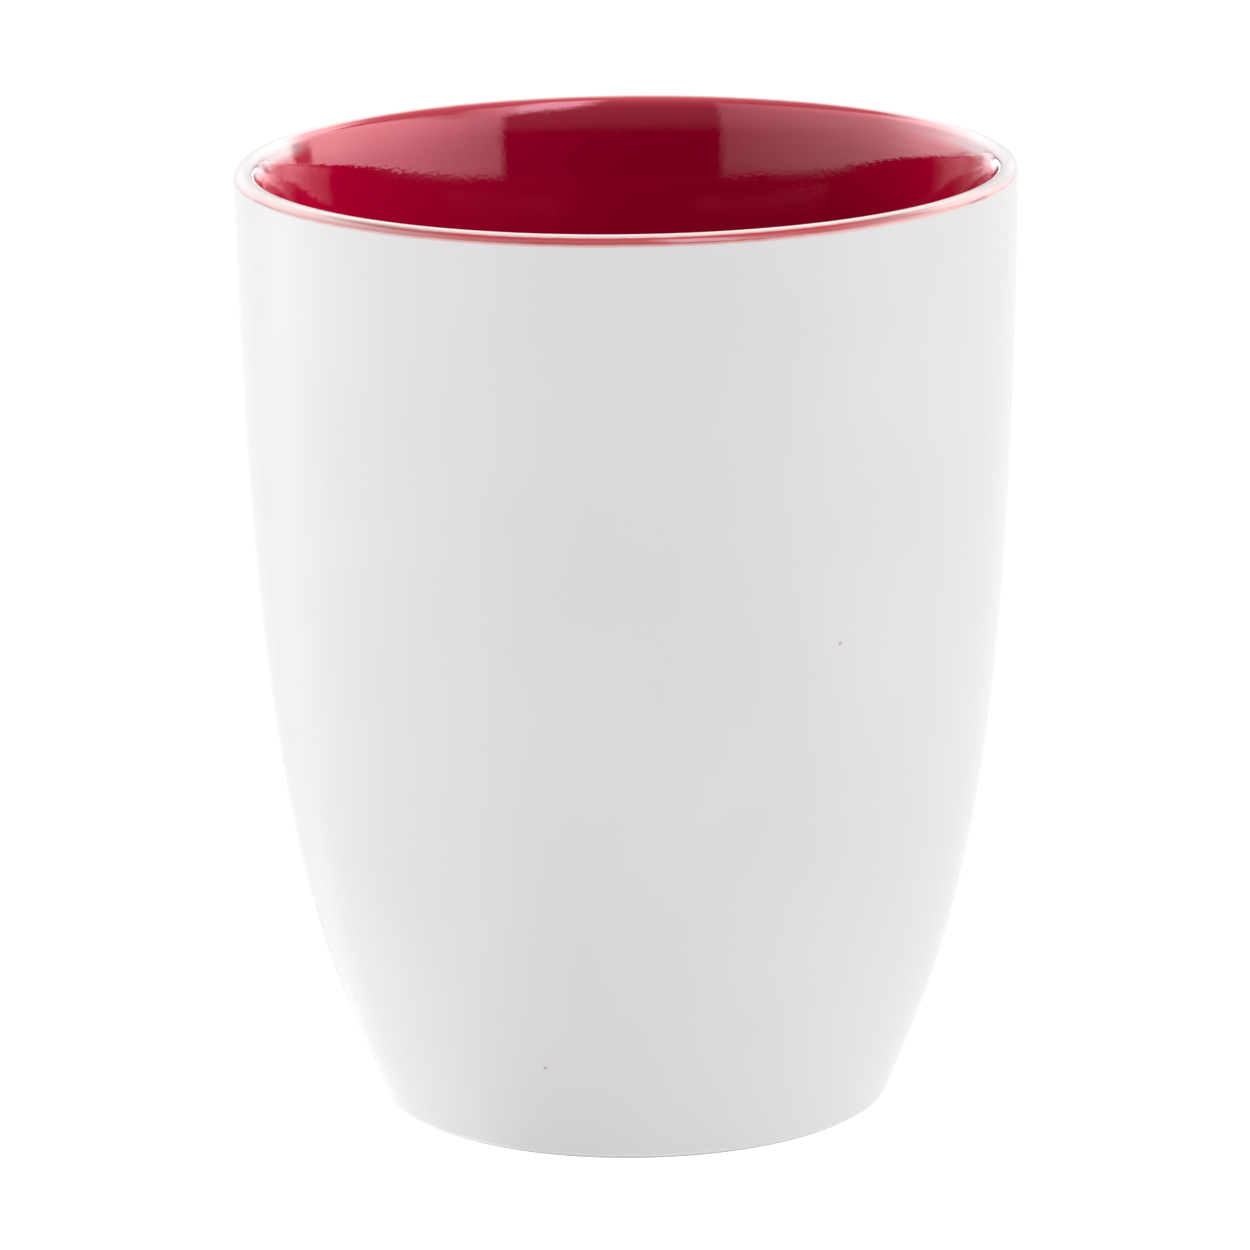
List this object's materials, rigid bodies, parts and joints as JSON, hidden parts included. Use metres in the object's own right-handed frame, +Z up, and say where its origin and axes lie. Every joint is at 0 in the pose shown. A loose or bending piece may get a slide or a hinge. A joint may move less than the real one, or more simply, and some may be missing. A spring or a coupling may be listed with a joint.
{
  "type": "cup",
  "caption": "Tapered ceramic cup without a handle, white glazed outside and red glazed inside and over its rounded lip, standing on a bare foot ring, for drinks.",
  "frame": {"origin": "centre of the foot ring's standing face, on the cup's axis", "axes": "+Z up along the axis that the cup is turned about; X and Y are square to it and alike"},
  "size_m": [0.083, 0.083, 0.102],
  "materials": {
    "bare_ceramic": "fired and unglazed, fine dry matt grain",
    "red_glaze": "high gloss deep red glaze, thinner and paler at the lip",
    "white_glaze": "high gloss white glaze"
  },
  "bodies": {
    "root": {"ceramic_body": "bare_ceramic", "red_inner_glaze": "red_glaze", "white_outer_glaze": "white_glaze", "white_base_glaze": "white_glaze"}
  },
  "joints": []
}
